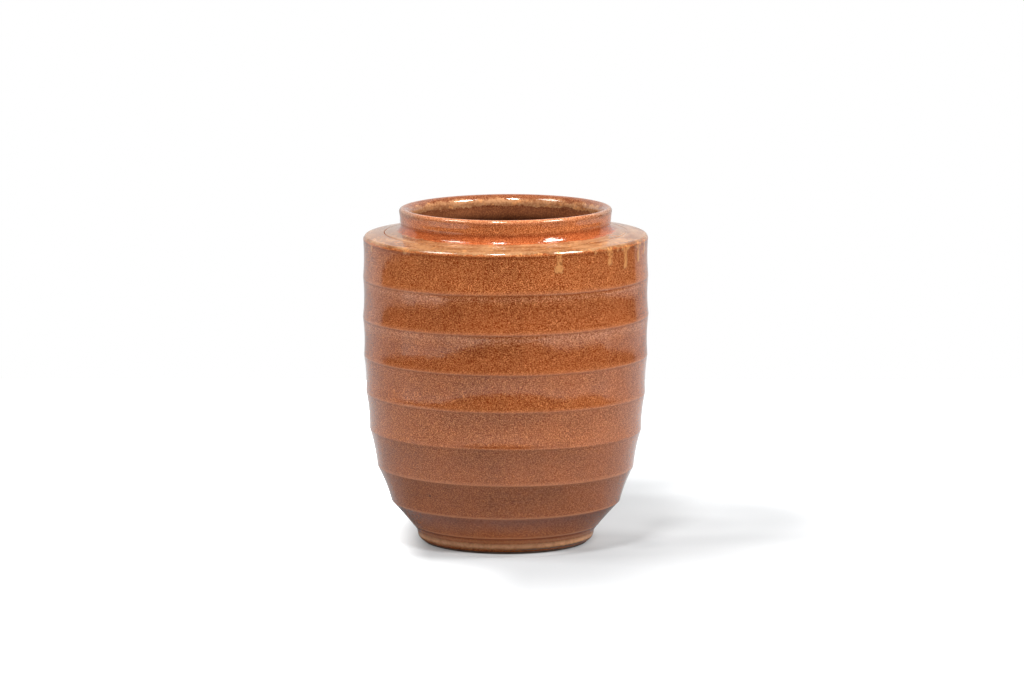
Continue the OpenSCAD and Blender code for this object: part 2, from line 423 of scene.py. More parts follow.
def spin_tree():
    """Spins an outline round the pot's axis. Its points' values go with it."""
    tree, given, result = group_with(
        "Spin an outline", "GeometryNodeTree",
        [("Outline", "Geometry"), ("Segments", "Int"), ("Path radius", "Float"), ("Weld", "Float"),
         ("Finish", "Material")],
        [("Coat", "Geometry")])
    outline = node(tree, "GeometryNodeMeshToCurve", {"Mesh": given["Outline"]})
    wheel = node(tree, "GeometryNodeCurvePrimitiveCircle",
                 {"Resolution": given["Segments"], "Radius": given["Path radius"]})
    spun = node(tree, "GeometryNodeCurveToMesh",
                {"Curve": wheel.outputs["Curve"], "Profile Curve": outline.outputs["Curve"]})
    closed = node(tree, "GeometryNodeMergeByDistance",
                  {"Geometry": spun.outputs["Mesh"], "Distance": given["Weld"]})
    turned = node(tree, "GeometryNodeFlipFaces", {"Mesh": closed.outputs["Geometry"]})
    smooth = node(tree, "GeometryNodeSetShadeSmooth", {"Geometry": turned.outputs["Mesh"]})
    real = node(tree, "GeometryNodeRealizeInstances", {"Geometry": smooth.outputs["Geometry"]})
    dressed = node(tree, "GeometryNodeSetMaterial",
                   {"Geometry": real.outputs["Geometry"], "Material": given["Finish"]})
    tree.links.new(dressed.outputs["Geometry"], result["Coat"])
    return tree


SPIN = spin_tree()
PATH_R = 100 * MM
WELD = 1e-6
SHARP = math.radians(50)


def spun_coat(outline, values, finish):
    """The mesh of one coat, from its outline and the named values of its points. An outline that ends on
    the axis stays open there."""
    flat = np.column_stack([outline[:, 0] * MM - PATH_R, -outline[:, 1] * MM, np.zeros(len(outline))])
    count = len(flat)
    mesh = bpy.data.meshes.new("outline")
    edges = [(i, i + 1) for i in range(count - 1)]
    if outline[0, 0] > 0:
        edges.append((count - 1, 0))
    mesh.from_pydata(flat.tolist(), edges, [])
    for name, value in values.items():
        mesh.attributes.new(name, "FLOAT", "POINT").data.foreach_set("value", value.astype(np.float32))
    drawn = into_scene("outline", mesh)
    spin = drawn.modifiers.new("spin", "NODES")
    spin.node_group = SPIN
    inputs = {"Segments": SEGMENTS, "Path radius": PATH_R, "Weld": WELD, "Finish": finish}
    for socket in SPIN.interface.items_tree:
        if socket.in_out == "INPUT" and socket.name in inputs:
            spin[socket.identifier] = inputs[socket.name]
    graph = bpy.context.evaluated_depsgraph_get()
    coat = bpy.data.meshes.new_from_object(drawn.evaluated_get(graph))
    bpy.data.objects.remove(drawn)
    bpy.data.meshes.remove(mesh)
    coat.set_sharp_from_angle(angle=SHARP)
    return coat


UNDERSIDE_ROWS = 4


def shell_outline(line, rows, thickness):
    """A closed outline: the chosen rows of a line, and back along its underside in the clay, which has one
    row for each few of the line's."""
    smooth = softened(line, UNDERSIDE_SOFTNESS)
    smooth = smooth[np.linspace(0, len(smooth) - 1, len(line)).round().astype(int)]
    under_rows = np.append(rows[:-1:UNDERSIDE_ROWS], rows[-1])
    under = (smooth - normals_of(smooth) * thickness)[under_rows][::-1]
    return np.vstack([line[rows], under]), np.concatenate([rows, under_rows[::-1]])


# Marks in the outer glaze, in millimetres along the outline from the place that each one belongs to. A pair
# says where a mark has faded out and where it is full

# Thin glaze and a painted highlight on the ridges, pooled glaze and painted shade under them and in the toe
# line, thin glaze and a painted highlight over that line and over the toe's edge, and thin glaze and painted
# light on the foot
CREST_RISE = 0.1
CREST_REACH = 0.8
GUTTER_DROP = 1.0
GUTTER_REACH = 0.75
TOE_LINE_REACH = 0.9
TOE_BEAD_REACH = 1.3
TOE_EDGE_SHARE = 0.8
TOE_EDGE_RISE = 1.3
TOE_EDGE_REACH = 1.2
FOOT_DROP = 3.3
FOOT_REACH = 1.9

# The waist and the neck, each from its lower to its upper end, and where the lip and the mouth start
WAIST_LOW = (-4, -2.5)
WAIST_HIGH = (8, 5.5)
NECK_LOW = (6, 9.5)
NECK_HIGH = (0.5, -2)
LIP_LOW = (-1, 1)
MOUTH_LOW = (-0.5, 1.5)

# Painted shade on the toe band, a share of it on the bands above, and the bands that are made darker
TOE_LOW = (-21.9, -3.9)
TOE_HIGH = (-0.3, -0.9)
LOW_BANDS_RIDGE = 5
LOW_BANDS_HIGH = (-3, -11)
LOW_BANDS_SHADE_SHARE = 0.25
DARKER_BANDS_LOW = (0, 2)
DARKER_BANDS_HIGH = (-5, -12)

# Pale strips of painted reflection: the ridge that each lies under, drop, reach and share
REFLECTION_STRIPS = ((1, 3.6, 2.4, 1), (2, 3.9, 3.1, 1.2))

# One more dark line over a ridge, a painted reflection, and the rows that it needs
DARK_REFLECTION_RIDGE = 5
DARK_REFLECTION_RISE = 1.8
DARK_REFLECTION_REACH = 0.8
DARK_REFLECTION_ROWS = np.arange(0, 3.6, 0.3)


def waist_share(along):
    """How far the glaze has pooled in the cove and the waist of the neck."""
    return ramp(along - NECK_FOOT_ALONG, *WAIST_LOW) * ramp(along - NECK_FOOT_ALONG, *WAIST_HIGH)


def rust_coat(finish):
    """The outer glaze, with its marks as values of its points."""
    rows = chosen_rows(OUTER, sag=0.0065, widest=3)
    rows = np.union1d(rows, np.searchsorted(OUTER_ALONG, CRESTS_ALONG[DARK_REFLECTION_RIDGE] + DARK_REFLECTION_ROWS))
    outline, rows = shell_outline(OUTER, rows, GLAZE_T)
    along = OUTER_ALONG[rows]
    crest = sum(share * bump_at(along, at + CREST_RISE, CREST_REACH)
                for at, share in zip(CRESTS_ALONG, THINNED_AND_LIT))
    crest += bump_at(along, TOE_SCRIBE_ALONG + SCRIBE_W, TOE_BEAD_REACH)
    crest += TOE_EDGE_SHARE * bump_at(along, TOE_ALONG + TOE_EDGE_RISE, TOE_EDGE_REACH)
    # Gutters: pooled glaze and painted shade under each ridge and in the toe line
    gutter = sum(share * bump_at(along, at - GUTTER_DROP, GUTTER_REACH)
                 for at, share in zip(CRESTS_ALONG, POOLED_AND_SHADED))
    gutter += bump_at(along, TOE_SCRIBE_ALONG, TOE_LINE_REACH)
    mouth = ramp(along - LIP_TOP_ALONG, *MOUTH_LOW)
    above_toe = along - CRESTS_ALONG[TOE - 1]
    toe = ramp(above_toe, *TOE_LOW) * ramp(above_toe, *TOE_HIGH)
    low_bands = ramp(along - CRESTS_ALONG[LOW_BANDS_RIDGE], *LOW_BANDS_HIGH) * (above_toe > TOE_HIGH[0])
    deep = sum(share * ramp(along - low, *DARKER_BANDS_LOW) * ramp(along - high, *DARKER_BANDS_HIGH)
               for share, high, low in zip(DARKENED_BANDS, CRESTS_ALONG[1:], CRESTS_ALONG[2:]))
    # Pale strips of painted reflection under the first two ridges
    strip = sum(share * bump_at(along, CRESTS_ALONG[ridge] - drop, reach)
                for ridge, drop, reach, share in REFLECTION_STRIPS)
    values = {
        # Thin glaze and a painted highlight on the crests
        "crest": np.minimum(crest, 1),
        # Pooled glaze and painted shade under the crests
        "gutter": gutter,
        # Painted sheen on the neck
        "neck": ramp(along - NECK_FOOT_ALONG, *NECK_LOW) * ramp(along - LIP_START_ALONG, *NECK_HIGH),
        "waist": waist_share(along),
        # Painted sheen on the lip
        "lip": ramp(along - LIP_START_ALONG, *LIP_LOW) * (1 - mouth),
        "mouth": mouth,
        # Thin glaze and painted light on the foot
        "foot": bump_at(along, TOE_ALONG - FOOT_DROP, FOOT_REACH),
        # Painted shade on the toe and the low bands
        "toe": toe + LOW_BANDS_SHADE_SHARE * low_bands,
        # The second to fourth bands made darker
        "deep": deep,
        # Pale strips of painted reflection
        "strip": strip,
        # A painted dark reflection over a ridge
        "line": bump_at(along, CRESTS_ALONG[DARK_REFLECTION_RIDGE] + DARK_REFLECTION_RISE, DARK_REFLECTION_REACH)}
    return spun_coat(outline, values, finish)


# Throwing rings inside: pitch, depth, how their pitch sways, and where they fade out below the mouth and
# round the middle of the floor
FURROW_PITCH = 8.5
FURROW_DEPTH = 0.22
FURROW_SWAY = 1.3
FURROW_SWAY_STEP = 23
FURROWS_HIGH = (12, 32)
FURROWS_LOW = (0, 15)


def liner_coat(finish):
    """The liner, with the faint rings that throwing leaves inside a pot."""
    line = inner_line()
    along = lengths_along(line)
    fade = ramp(along, *FURROWS_HIGH) * ramp(along[-1] - along, *FURROWS_LOW)
    turn = along * math.tau / FURROW_PITCH + FURROW_SWAY * np.sin(along / FURROW_SWAY_STEP)
    line = line + normals_of(line) * (FURROW_DEPTH * np.sin(turn) * fade)[:, None]
    line[-1, 0] = 0
    rows = chosen_rows(line, sag=0.03, widest=4)
    outline, _ = shell_outline(line, rows, GLAZE_T)
    outline = np.roll(outline, -len(rows), axis=0)
    outline[[0, -1], 0] = 0
    return spun_coat(outline, {}, finish)


# Overglaze: laid on by hand, so its edge wanders and it has run

# Its greatest depth on the shoulder and in the mouth, the depth at which it has sunk for good into the coat
# under it, and the depth of its underside
OVER_T = 0.2
MOUTH_T = 0.07
SUNK = -0.1
UNDER = -0.3


def ripple(bearings, random, height, lowest, highest):
    """A wave of about the given height that runs round the pot and closes on itself."""
    lobes = np.arange(lowest, highest + 1)
    phases = random.uniform(0, math.tau, len(lobes))
    waves = np.cos(bearings[:, None] * lobes + phases)
    return height * (waves.sum(-1) / math.sqrt(len(lobes) / 2))[:, None]


def patch_faces(sunk):
    """Faces of a closed patch on a grid of points that runs round the pot. Cells whose four corners are sunk
    are left off. The points of the underside follow those of the top."""
    bearings, rows = sunk.shape
    following = (np.arange(bearings) + 1) % bearings
    beside_sunk = sunk[following]
    hidden = sunk[:, :-1] & sunk[:, 1:] & beside_sunk[:, :-1] & beside_sunk[:, 1:]
    bearing, row = np.nonzero(~hidden)
    here = bearing * rows + row
    beside = following[bearing] * rows + row
    top = np.stack([here, beside, beside + 1, here + 1], 1)
    edges = np.vstack([top[:, [i, (i + 1) % 4]] for i in range(4)])
    seen = set(map(tuple, edges.tolist()))
    rim = [(p, q) for p, q in seen if (q, p) not in seen]
    walls = np.array([(q, p, p + sunk.size, q + sunk.size) for p, q in sorted(rim)])
    return np.vstack([top, top[:, ::-1] + sunk.size, walls])


def coat_patch(name, line, bearings, along, depth, values, finish):
    """A thin closed patch laid on a line spun round the axis. Where its depth is below nothing it sinks
    into the coat under it, and what is sunk for good is left off."""
    all_along = lengths_along(line)
    out = normals_of(line)
    at = np.stack([np.interp(along, all_along, line[:, i]) for i in (0, 1)], 1)
    way = np.stack([np.interp(along, all_along, out[:, i]) for i in (0, 1)], 1)
    depth = np.maximum(depth, SUNK)

    def place(extra):
        flat = at[None] + way[None] * extra[..., None]
        radius, height = flat[..., 0], flat[..., 1]
        x, y = radius * np.sin(bearings)[:, None], -radius * np.cos(bearings)[:, None]
        return np.stack([x, y, height], -1).reshape(-1, 3) * MM

    spots = np.vstack([place(depth), place(np.full_like(depth, UNDER))])
    used, faces = np.unique(patch_faces(depth <= SUNK), return_inverse=True)
    mesh = bpy.data.meshes.new(name)
    mesh.from_pydata(spots[used].tolist(), [], faces.reshape(-1, 4).tolist())
    for label, value in values.items():
        spread = np.broadcast_to(value, depth.shape).ravel()
        shown = np.concatenate([spread, spread])[used].astype(np.float32)
        mesh.attributes.new(label, "FLOAT", "POINT").data.foreach_set("value", shown)
    mesh.polygons.foreach_set("use_smooth", np.ones(len(mesh.polygons), bool))
    mesh.materials.append(finish)
    mesh.update()
    mesh.set_sharp_from_angle(angle=SHARP)
    return mesh


def film(cover, thickness):
    """Depth of a film that thins out to its edge, where the cover is nothing."""
    return np.where(cover > 0, cover * (2 - cover), cover) * thickness


def turned_by(bearing, degrees):
    """Angle from a bearing given in degrees, the short way round."""
    return (bearing - math.radians(degrees) + math.pi) % math.tau - math.pi


def side_share(bearing, at, reach):
    """One at a bearing and less to both sides of it. The bearing and the reach are in degrees."""
    return bump_at(turned_by(bearing, at), 0, math.radians(reach))


# A run: how far up the shoulder it starts, its depth and its bead's, the bead's length, and the greatest
# share of the run that a bead takes up
RUN_ROOT = 3.5
RUN_T = 0.06
BEAD_T = 0.12
BEAD_L = 9
BEAD_PART = 0.8

# Its two strands: how far apart they start, how they sway, (depth, step) of the lumps on their sides, how
# slim they are above the bead, and the share of cover at which a run has sunk
STRANDS_APART = 1.3
SWAY = 0.4
SWAY_STEP = 3.1
LUMPS = ((0.16, 1.1), (0.12, 0.6))
SLIM = 0.75
RUN_SUNK = -0.5


def one_run(bearing, below, run, random):
    """Share of cover and depth of one run: two strands that meet and wander down the band to a long bead."""
    at, length, girth, parted = run
    bead_l = min(BEAD_L, BEAD_PART * length)
    bead = bump_at(below, length - bead_l / 2, bead_l / 2)
    went = np.clip(below / length, 0, 1)
    apart = STRANDS_APART * (1 - went) ** 2 + parted * went ** 3
    past = np.maximum(below - (length - girth / 2), 0) / (girth / 2) + np.maximum(-below, 0) / RUN_ROOT
    share = -1.0
    for side in (-1, 1):
        sway_turn, *lump_turns = random.uniform(0, math.tau, 1 + len(LUMPS))
        sway = SWAY * np.sin(below / SWAY_STEP + sway_turn) + side * apart
        aside = turned_by(bearing, at) * BELLY_R - sway
        lumps = sum(size * np.sin(below / step + turn) for (size, step), turn in zip(LUMPS, lump_turns))
        half = girth / 2 * (SLIM + (1 - SLIM) * bead + lumps)
        share = np.maximum(share, 1 - (aside / half) ** 2 - past ** 2)
    return share, np.where(share > RUN_SUNK, share * (RUN_T + BEAD_T * bead), SUNK)


# Rows of the ochre on the shoulder: where a stretch of them starts along the outline, and its step
RUN_REACH = 24
OVER_ROWS = ((EDGE_ALONG - RUN_REACH, 0.65), (EDGE_ALONG - 3, 0.45), (EDGE_ALONG + 6, 1.5),
             (SCRIBE_ALONG - 1.2, 0.35), (SCRIBE_ALONG + 1.2, 0.8))
OVER_END = NECK_FOOT_ALONG + 2.4
OVER_SEGMENTS = 960

# Its lower end from the shoulder edge and its upper end from the neck's foot, the wave of each end as height,
# fewest and most lobes, and the climb of the upper end on one side as height, bearing and reach
OVER_LOW = 0.6
OVER_LOW_WAVE = (0.3, 9, 90)
OVER_HIGH = -1.1
OVER_HIGH_WAVE = (0.4, 5, 60)
CLIMB = 2.0
CLIMB_SIDE = (-85, 40)

# Lengths over which its depth and its cover fall off at the lower end and at the upper end
FILM_ENDS = (3, 2)
COVER_ENDS = (1.6, 1.2)

# The fringe that hangs over the edge: its middle below the edge, reach, fullness and wave, the share at which
# it starts, its depth and how far that lies sunk, and how much of it counts as bead and as cover
FRINGE_DROP = 0.4
FRINGE_REACH = 1.7
FRINGE_FULL = 0.6
FRINGE_WAVE = (0.5, 25, 150)
FRINGE_START = 0.1
FRINGE_T = 0.06
FRINGE_SUNK = 0.02
FRINGE_BEAD = 1.2
FRINGE_COVER = 1.6

# Cover of a run: its share at the edge of the run and what it gains to the middle, and how it grows fuller
# from the top for each millimetre down
RUN_EDGE_COVER = 0.1
RUN_COVER = 0.8
RUN_TOP_COVER = 0.6
RUN_FILLING = 0.03

# The scribed line: its reach, how dark it is all round, and the side where it is darkest
SCRIBED_REACH = 0.55
SCRIBED_ROUND = 0.12
SCRIBED_SIDE = (-80, 33)


def shoulder_overglaze(finish):
    """Ochre from the neck's foot to the shoulder edge. In places it hangs over the edge or has run down."""
    random = np.random.default_rng(SEED)
    bearings = np.arange(OVER_SEGMENTS) / OVER_SEGMENTS * math.tau
    bearing = bearings[:, None]
    stops = [start for start, _ in OVER_ROWS[1:]] + [OVER_END]
    along = np.concatenate([np.linspace(start, stop, math.ceil((stop - start) / step), endpoint=False)
                            for (start, step), stop in zip(OVER_ROWS, stops)])
    low = EDGE_ALONG + OVER_LOW
    high = NECK_FOOT_ALONG + OVER_HIGH + ripple(bearings, random, *OVER_HIGH_WAVE)
    high = high + CLIMB * side_share(bearing, *CLIMB_SIDE)
    ends = np.minimum((along - low) / FILM_ENDS[0], (high - along) / FILM_ENDS[1])
    depth = film(np.clip(ends, -1, 1), OVER_T)
    ragged = low + ripple(bearings, random, *OVER_LOW_WAVE)
    cover = np.minimum((along - ragged) / COVER_ENDS[0], (high - along) / COVER_ENDS[1])
    heavy = sum(share * side_share(bearing, at, reach) for at, reach, share in FRINGES)
    hung = heavy * (FRINGE_FULL + ripple(bearings, random, *FRINGE_WAVE))
    fringe = np.clip(hung, 0, 1) * bump_at(along, EDGE_ALONG - FRINGE_DROP, FRINGE_REACH)
    depth = np.maximum(depth, np.where(fringe > FRINGE_START, FRINGE_T * fringe - FRINGE_SUNK, SUNK))
    bead = FRINGE_BEAD * fringe
    cover = np.clip(np.maximum(cover, FRINGE_COVER * fringe), 0, 1)
    below = EDGE_ALONG - along[None]
    fuller = np.clip(RUN_TOP_COVER + RUN_FILLING * below, RUN_TOP_COVER, 1)
    for run in RUNS:
        share, ran = one_run(bearing, below, run, random)
        depth = np.maximum(depth, ran)
        cover = np.maximum(cover, np.clip(RUN_EDGE_COVER + RUN_COVER * share, 0, 1) * fuller)
        bead = np.maximum(bead, np.clip(share, 0, 1))
    darkest = SCRIBED_ROUND + (1 - SCRIBED_ROUND) * side_share(bearing, *SCRIBED_SIDE)
    scribed = bump_at(along, SCRIBE_ALONG, SCRIBED_REACH) * darkest
    values = {"cover": cover, "bead": bead, "scribed": scribed, "waist": waist_share(along),
              "mouth": np.zeros(1)}
    return coat_patch("shoulder overglaze", OUTER, bearings, along, depth, values, finish)


# Ochre in the mouth: where it starts past the lip's top, how deep it ends, the waves of both ends, and how
# far its patch goes on below the end of the rust glaze
MOUTH_START = 5
MOUTH_START_WAVE = (0.8, 7, 40)
MOUTH_OCHRE_DEPTH = 9
MOUTH_END_WAVES = ((0.5, 6, 22), (0.3, 30, 110))
BELOW_MOUTH = 4
MOUTH_SEGMENTS = 720
MOUTH_ROWS = 34

# How far its film goes past the lower and the upper end of its cover, and the lengths over which its depth
# and its cover fall off there
FILM_PAST = (1, 2)
MOUTH_FILM_ENDS = (2.5, 3)
MOUTH_COVER_ENDS = (0.8, 3)


def mouth_overglaze(finish):
    """Ochre inside the lip, which ends in a ragged line above the liner."""
    random = np.random.default_rng(SEED + 1)
    reach = np.linspace(0, BELOW_MOUTH, round(BELOW_MOUTH / OUTLINE_STEP))
    line = np.vstack([OUTER[:-1], MOUTH_END - np.outer(reach, [0, 1])])
    bearings = np.arange(MOUTH_SEGMENTS) / MOUTH_SEGMENTS * math.tau
    start = LIP_TOP_ALONG + MOUTH_START
    along = np.linspace(start - MOUTH_COVER_ENDS[1], lengths_along(line)[-1], MOUTH_ROWS)
    end = LIP_TOP_ALONG + math.pi / 2 * LIP_IN + MOUTH_OCHRE_DEPTH - LIP_IN
    low = end + sum(ripple(bearings, random, *wave) for wave in MOUTH_END_WAVES)
    high = start + ripple(bearings, random, *MOUTH_START_WAVE)
    ends = np.minimum((low + FILM_PAST[0] - along) / MOUTH_FILM_ENDS[0],
                      (along - high + FILM_PAST[1]) / MOUTH_FILM_ENDS[1])
    depth = film(np.clip(ends, -1, 1), MOUTH_T)
    cover = np.minimum((low - along) / MOUTH_COVER_ENDS[0], (along - high) / MOUTH_COVER_ENDS[1])
    plain = {name: np.zeros(1) for name in ("bead", "scribed", "waist")}
    values = {"cover": np.clip(cover, 0, 1), "mouth": np.ones(1), **plain}
    return coat_patch("mouth overglaze", line, bearings, along, depth, values, finish)


# Finishes

def mixed(tree, share, first, second, blend="MIX"):
    """Mixes two colours and gives the result's socket."""
    made = node(tree, "ShaderNodeMix", {"Factor": share}, data_type="RGBA", blend_type=blend)
    for key, value in (("A_Color", first), ("B_Color", second)):
        socket = next(s for s in made.inputs if s.identifier == key)
        if isinstance(value, bpy.types.NodeSocket):
            tree.links.new(value, socket)
        else:
            socket.default_value = (*value, 1)
    return next(s for s in made.outputs if s.identifier == "Result_Color")


def maths(tree, operation, first, second=0.0):
    return node(tree, "ShaderNodeMath", {0: first, 1: second}, operation=operation).outputs[0]


def times(tree, first, second):
    return maths(tree, "MULTIPLY", first, second)


def total(tree, first, *others):
    for other in others:
        first = maths(tree, "ADD", first, other)
    return first


def ranged(tree, value, low, high, to_low=0.0, to_high=1.0):
    """Carries a value from one range to another, with soft ends."""
    inputs = {"Value": value, "From Min": low, "From Max": high, "To Min": to_low, "To Max": to_high}
    return node(tree, "ShaderNodeMapRange", inputs, interpolation_type="SMOOTHSTEP").outputs["Result"]


def noise(tree, place, scale, detail, roughness=0.5):
    inputs = {"Vector": place, "Scale": scale, "Detail": detail, "Roughness": roughness}
    return node(tree, "ShaderNodeTexNoise", inputs).outputs["Fac"]


def parts_of(tree, place):
    return node(tree, "ShaderNodeSeparateXYZ", {0: place}).outputs


def distance(tree, place, at=(0, 0, 0)):
    inputs = {0: place, 1: at}
    return node(tree, "ShaderNodeVectorMath", inputs, operation="DISTANCE").outputs["Value"]


def attribute(tree, name):
    return node(tree, "ShaderNodeAttribute", attribute_name=name).outputs["Fac"]


def grouped(tree, group, place, values=()):
    """Puts a node group into a tree, with its own values."""
    return node(tree, "ShaderNodeGroup", {"Place": place, **dict(values)}, node_tree=group).outputs


NOISE_MEAN = 0.5

# Coarse grain beside the flecks, what the flecks take from it, the ranges of noise that make flecks and
# clouds, and the waves of the glaze's skin
COARSER = 0.31
COARSE_SHARE = 0.18
FLECK_RANGE = (0.44, 0.63)
CLOUD_RANGE = (0.3, 0.7)
WAVE_SCALE = 170


def fleck_group():
    """Fine flecks that float in the glaze, the slow clouds of its colour, and the waves of its skin."""
    tree, given, result = group_with(
        "Glaze flecks", "ShaderNodeTree",
        [("Place", "Vector"), ("Size", "Float", 0.001), ("Cloud size", "Float", 0.02)],
        [("Fleck", "Float"), ("Cloud", "Float"), ("Grain", "Float"), ("Wave", "Float")])
    place = given["Place"]
    fine = maths(tree, "DIVIDE", 1.0, given["Size"])
    speck = noise(tree, place, fine, detail=1, roughness=0.6)
    coarse = noise(tree, place, times(tree, fine, COARSER), detail=2)
    blended = total(tree, speck, times(tree, maths(tree, "SUBTRACT", coarse, NOISE_MEAN), COARSE_SHARE))
    cloud = noise(tree, place, maths(tree, "DIVIDE", 1.0, given["Cloud size"]), detail=3)
    tree.links.new(ranged(tree, blended, *FLECK_RANGE), result["Fleck"])
    tree.links.new(ranged(tree, cloud, *CLOUD_RANGE), result["Cloud"])
    tree.links.new(coarse, result["Grain"])
    tree.links.new(noise(tree, place, WAVE_SCALE, detail=1), result["Wave"])
    return tree


def turning_group():
    """Fine broken lines that run round the pot, up its wall and across its shoulder."""
    tree, given, result = group_with(
        "Turning lines", "ShaderNodeTree",
        [("Place", "Vector"), ("Pitch", "Float", 0.002), ("Reach", "Float", 0.04)],
        [("Line", "Float")])
    parts = parts_of(tree, given["Place"])
    flat = node(tree, "ShaderNodeCombineXYZ", {"X": parts["X"], "Y": parts["Y"]}).outputs[0]
    across = maths(tree, "DIVIDE", 1.0, given["Reach"])
    inputs = {"X": times(tree, parts["X"], across),
              "Y": times(tree, parts["Y"], across),
              "Z": maths(tree, "DIVIDE", total(tree, parts["Z"], distance(tree, flat)), given["Pitch"])}
    place = node(tree, "ShaderNodeCombineXYZ", inputs).outputs[0]
    tree.links.new(noise(tree, place, 1.0, detail=1), result["Line"])
    return tree


FLECKS = fleck_group()
TURNING = turning_group()

# Rust glaze: its colours, and the tints that its marks multiply them by
DEEP_RUST = (0.18, 0.025, 0.0026)
WARM_RUST = (0.252, 0.0395, 0.0046)
LIGHT_FLECK = (0.78, 0.278, 0.096)
# Lighter colour of the crests: thin glaze with a painted highlight
THIN_GLAZE_AND_HIGHLIGHT = (0.60, 0.23, 0.105)
# Dark pooled glaze; it also serves as painted shade under the ridges and as a painted dark reflection
POOLED_GLAZE_AND_SHADE = (0.19, 0.033, 0.007)
# Thin ochre glaze on the foot, made lighter by painted light
FOOT_OCHRE_AND_LIGHT = (1.0, 0.52, 0.27)
PINHOLE = (0.12, 0.03, 0.01)
GLAZE_SHINE = (1, 0.93, 0.84, 1)
GLAZE_IOR = 1.5
# Painted sheen on the neck: paler and less orange
NECK_SHEEN_TINT = (1.37, 1.53, 1.65)
WAIST_TINT = (0.9, 0.74, 0.7)
# Painted sheen on the lip: paler and less orange
LIP_SHEEN_TINT = (1.2, 1.48, 2.05)
# Painted shade and sheen at the lip's two sides: less orange, bluer
LIP_SIDE_SHADE_SHEEN_TINT = (0.65, 0.86, 1.15)
MOUTH_TINT = (0.55, 0.6, 0.82)
# Painted shade on the toe band, which faces down
TOE_PAINTED_SHADE = (0.55, 0.52, 0.73)
# Darker colour of the second to fourth bands
DARKER_BANDS_TINT = (0.88, 0.84, 0.84)
# Painted reflection: paler, bluer strips under the top ridges
REFLECTION_STRIP_TINT = (1.08, 1.24, 1.62)

# Its flecks, their mean share, and their strength up the pot, each from a height to a height and from a
# share to a share
RUST_FLECKS = {"Size": 0.00057, "Cloud size": 0.02}
MEAN_FLECK = 0.37
FLECK_STRENGTHS = ((0.06, 0.14, 0.76, 0.97), (0.15, 0.175, 1.0, 1.45), (0.205, 0.215, 1.0, 0.85),
                   (0.242, 0.252, 1.0, 0.6))

# Its turning lines and their shares, and its pinholes with the distances at which they end and are full
RUST_LINES = {"Pitch": 0.0016, "Reach": 0.03}
RUST_LINE_SHARES = (0.62, 0.78, 0.0, 0.45)
PINHOLES = ((-0.0597, -0.0765, 0.0487), (0.0427, -0.1051, 0.2380), (0.0310, 0.1098, 0.1540),
            (-0.1040, 0.0420, 0.1005))
PINHOLE_EDGE = (0.0014, 0.0007)

# Shares of its marks: the painted shade and sheen on the lip's sides, the gutters with their painted shade,
# the foot's thin glaze and painted light by the skin, and the painted dark reflection round its place
LIP_SIDES_PAINTED = (0.055, 0.08)
GUTTER_SHARE = 0.75
FOOT_SHARES = (0.8, 1.15, 0.68, 1.0)
DARK_REFLECTION_PLACE = (0.0, -0.1, 0.094)
DARK_REFLECTION_SHARES = (0.06, 0.025, 0.0, 0.5)
GLAZE_ROUGHNESS = (0, 1, 0.07, 0.13)
SKIN_DEPTH = 0.00005


def rust_colour_group():
    """The colour of the rust glaze where it has no marks but its flecks, turning lines and pinholes."""
    tree, given, result = group_with(
        "Rust glaze colour", "ShaderNodeTree", [("Place", "Vector")],
        [("Colour", "Color"), ("Fleck", "Float"), ("Skin", "Float"), ("Hole", "Float")])
    place = given["Place"]
    flecks = grouped(tree, FLECKS, place, RUST_FLECKS)
    lines = grouped(tree, TURNING, place, RUST_LINES)
    height = parts_of(tree, place)["Z"]
    spread = maths(tree, "SUBTRACT", flecks["Fleck"], MEAN_FLECK)
    for strength in FLECK_STRENGTHS:
        spread = times(tree, spread, ranged(tree, height, *strength))
    hole = 0.0
    for at in PINHOLES:
        hole = maths(tree, "MAXIMUM", hole, ranged(tree, distance(tree, place, at), *PINHOLE_EDGE))
    ground = mixed(tree, flecks["Cloud"], DEEP_RUST, WARM_RUST)
    ground = mixed(tree, ranged(tree, lines["Line"], *RUST_LINE_SHARES), ground, POOLED_GLAZE_AND_SHADE)
    colour = mixed(tree, total(tree, spread, MEAN_FLECK), ground, LIGHT_FLECK)
    tree.links.new(mixed(tree, hole, colour, PINHOLE), result["Colour"])
    tree.links.new(flecks["Fleck"], result["Fleck"])
    tree.links.new(total(tree, flecks["Grain"], flecks["Wave"]), result["Skin"])
    tree.links.new(hole, result["Hole"])
    return tree


RUST_COLOUR = rust_colour_group()


def new_finish(name, **plain):
    """A material with a Principled shader. The plain values are the same all over the surface."""
    made = bpy.data.materials.new(name)
    made.use_nodes = True
    tree = made.node_tree
    shader = tree.nodes["Principled BSDF"]
    for key, value in plain.items():
        shader.inputs[key.replace("_", " ").title().replace("Ior", "IOR")].default_value = value
    place = node(tree, "ShaderNodeTexCoord").outputs["Object"]
    return made, tree, shader.inputs, place


def relief(tree, height, depth):
    """A fine relief of a given depth in metres."""
    return node(tree, "ShaderNodeBump", {"Height": height, "Distance": depth, "Strength": 1.0}).outputs[0]


def tinted(tree, colour, **tints):
    """The colour, multiplied by each tint where the attribute of that name is one."""
    for name, tint in tints.items():
        colour = mixed(tree, attribute(tree, name), colour, tint, "MULTIPLY")
    return colour


